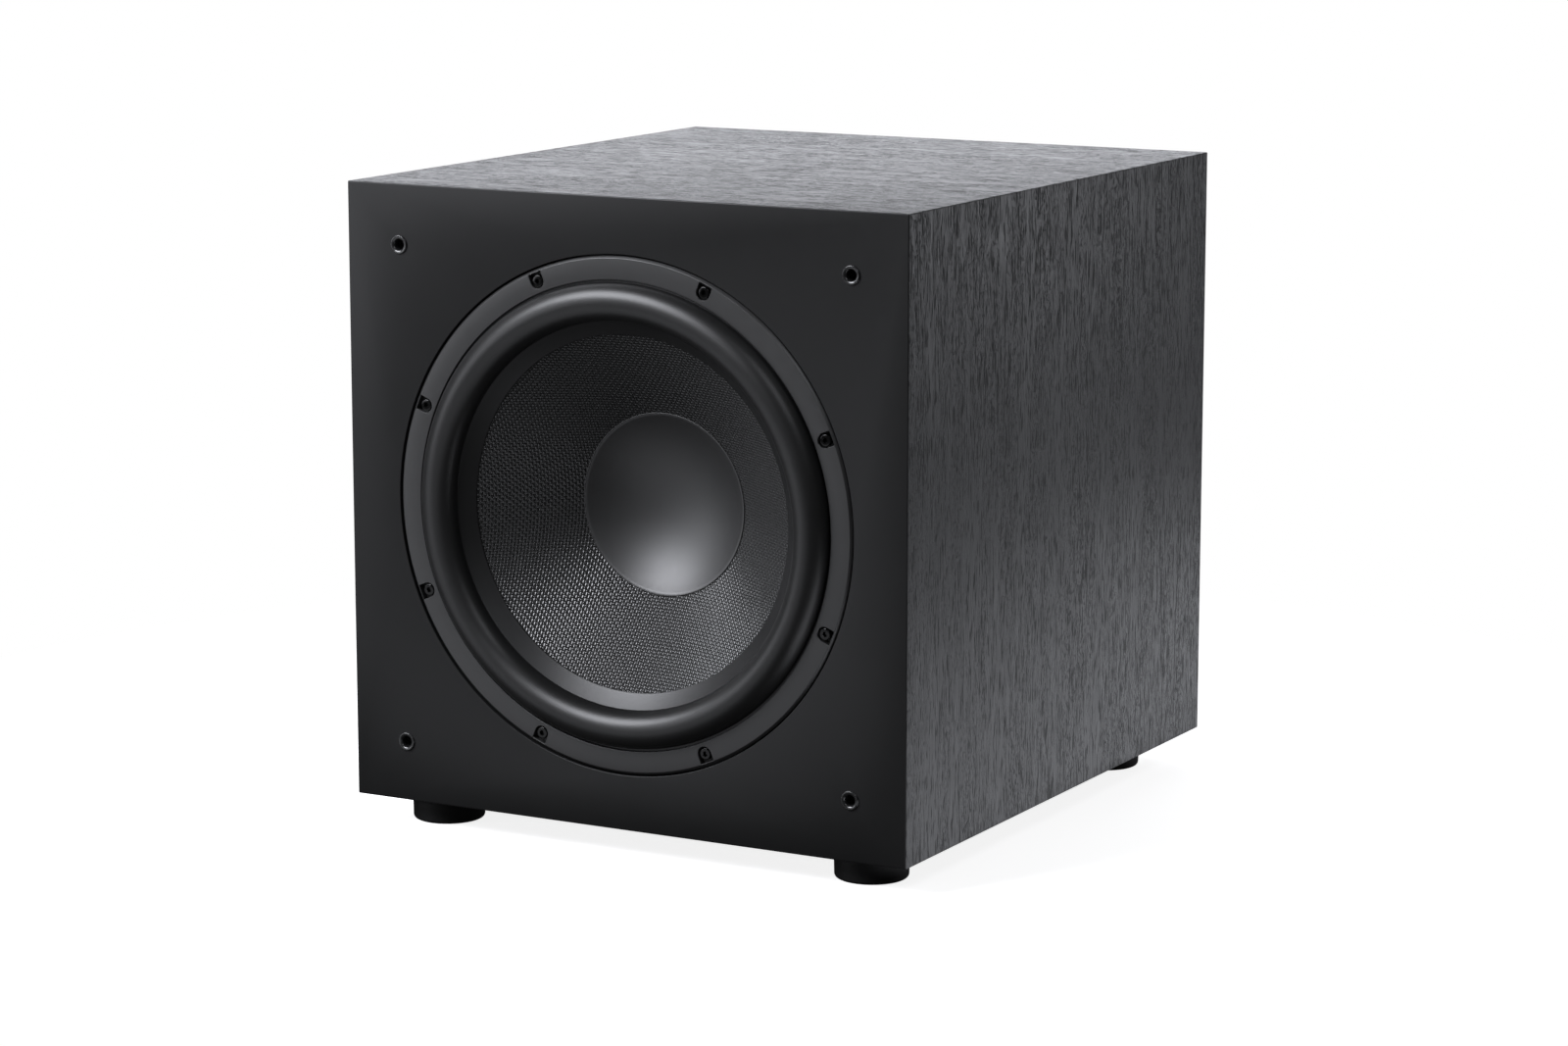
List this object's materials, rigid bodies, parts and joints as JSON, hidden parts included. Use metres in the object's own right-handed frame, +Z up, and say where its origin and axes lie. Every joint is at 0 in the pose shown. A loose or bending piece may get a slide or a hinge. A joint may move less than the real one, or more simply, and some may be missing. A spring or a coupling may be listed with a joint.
{
  "type": "subwoofer",
  "caption": "Free-standing active subwoofer: sealed box on round feet with a woven-cone driver in front and a plate amplifier with controls at the back.",
  "frame": {"origin": "on the floor, under the middle of the whole object's box", "axes": "+Z up, +X to the right as seen from the front, +Y from the front to the back"},
  "size_m": [0.384, 0.4474, 0.4],
  "materials": {
    "baffle_satin": "fibreboard, smooth satin black lacquer",
    "veneer": "black ash veneer, open grain",
    "mdf": "raw fibreboard",
    "wadding": "lofty polyester fibre",
    "foot_rubber": "moulded, matte",
    "screw_black": "glossy black",
    "screw_zinc": "bright zinc",
    "socket_plastic": "moulded, fine texture",
    "cast_frame": "die-cast, black powder coat",
    "trim_satin": "moulded, satin black",
    "foam": "closed-cell foam",
    "motor_steel": "plated steel",
    "ferrite": "ground ferrite",
    "phenolic": "brown board",
    "tin": "tinned",
    "tinsel": "braided copper tinsel",
    "woven_cone": "resin-coated open weave",
    "surround_rubber": "satin butyl rubber",
    "cap_satin": "satin black",
    "former": "thin anodised foil",
    "copper": "enamelled wire",
    "spider_cloth": "resin-treated cloth",
    "amp_black": "black anodised",
    "board_green": "solder mask",
    "brass_post": "turned",
    "capacitor_sleeve": "shrink sleeve",
    "housing_steel": "grey primer",
    "winding_tape": "yellow film",
    "wire_red_black": "soft sheath",
    "knob_plastic": "fine texture",
    "shaft_alloy": "turned",
    "switch_black": "moulded",
    "slider_white": "moulded",
    "inlet_plastic": "moulded",
    "jack_shell": "nickel plated",
    "jack_insert": "moulded",
    "fuse_glass": "clear tube",
    "lamp_lens": "clear lens"
  },
  "bodies": {
    "cabinet": {"baffle": "baffle_satin", "left_panel": "veneer", "right_panel": "veneer", "top_panel": "veneer", "bottom_panel": "veneer", "rear_panel": "veneer", "brace": "mdf", "wadding": "wadding", "foot_front_left": "foot_rubber", "foot_front_right": "foot_rubber", "foot_rear_left": "foot_rubber", "foot_rear_right": "foot_rubber", "foot_screws": "screw_zinc", "grille_sockets": "socket_plastic", "driver_frame": "cast_frame", "trim_ring": "trim_satin", "driver_gasket": "foam", "driver_screws": "screw_black", "top_plate": "motor_steel", "magnet": "ferrite", "back_plate": "motor_steel", "terminal_board": "phenolic", "terminal_tabs": "tin", "amp_plate": "amp_black", "amp_gasket": "foam", "amp_screws": "screw_black", "heatsink": "amp_black", "amp_housing": "housing_steel", "circuit_board": "board_green", "standoffs": "brass_post", "capacitors": "capacitor_sleeve", "transformer": "winding_tape", "transformer_bolt": "screw_zinc", "speaker_leads": "wire_red_black", "volume_pot": "switch_black", "crossover_pot": "switch_black", "phase_switch_body": "switch_black", "power_switch_body": "switch_black", "rocker_housing": "switch_black", "mains_inlet": "inlet_plastic", "inlet_pins": "tin", "input_jacks": "jack_shell", "jack_insulators": "jack_insert", "status_lamp": "lamp_lens"},
    "cone_assembly": {"cone": "woven_cone", "dust_cap": "cap_satin", "coil_former": "former", "voice_coil": "copper", "surround": "surround_rubber", "spider": "spider_cloth", "tinsel_leads": "tinsel"},
    "volume_control": {"volume_knob": "knob_plastic", "volume_shaft": "shaft_alloy"},
    "crossover_control": {"crossover_knob": "knob_plastic", "crossover_shaft": "shaft_alloy"},
    "phase_control": {"phase_slider": "slider_white"},
    "power_control": {"power_slider": "slider_white"},
    "mains_button": {"rocker": "switch_black"},
    "fuse_tray": {"fuse_drawer": "inlet_plastic", "fuse": "fuse_glass"}
  },
  "joints": [
    {"name": "cone_travel", "type": "slide", "parent": "cabinet", "child": "cone_assembly", "axis": [0, -1, 0], "range_m": [-0.012, 0.012], "stiffness_N_per_m": 2000, "deforming": ["surround", "spider", "tinsel_leads"]},
    {"name": "volume_turn", "type": "hinge", "parent": "cabinet", "child": "volume_control", "pos_m": [0.055, 0.20975, 0.309], "axis": [0, 1, 0], "range_deg": [-150, 150]},
    {"name": "crossover_turn", "type": "hinge", "parent": "cabinet", "child": "crossover_control", "pos_m": [0, 0.20975, 0.309], "axis": [0, 1, 0], "range_deg": [-150, 150]},
    {"name": "phase_slide", "type": "slide", "parent": "cabinet", "child": "phase_control", "axis": [1, 0, 0], "range_m": [0, 0.004]},
    {"name": "power_slide", "type": "slide", "parent": "cabinet", "child": "power_control", "axis": [1, 0, 0], "range_m": [0, 0.004]},
    {"name": "mains_rock", "type": "hinge", "parent": "cabinet", "child": "mains_button", "pos_m": [0.06, 0.20675, 0.169], "axis": [1, 0, 0], "range_deg": [0, 14]},
    {"name": "fuse_pull", "type": "slide", "parent": "cabinet", "child": "fuse_tray", "axis": [0, 1, 0], "range_m": [0, 0.012]}
  ]
}
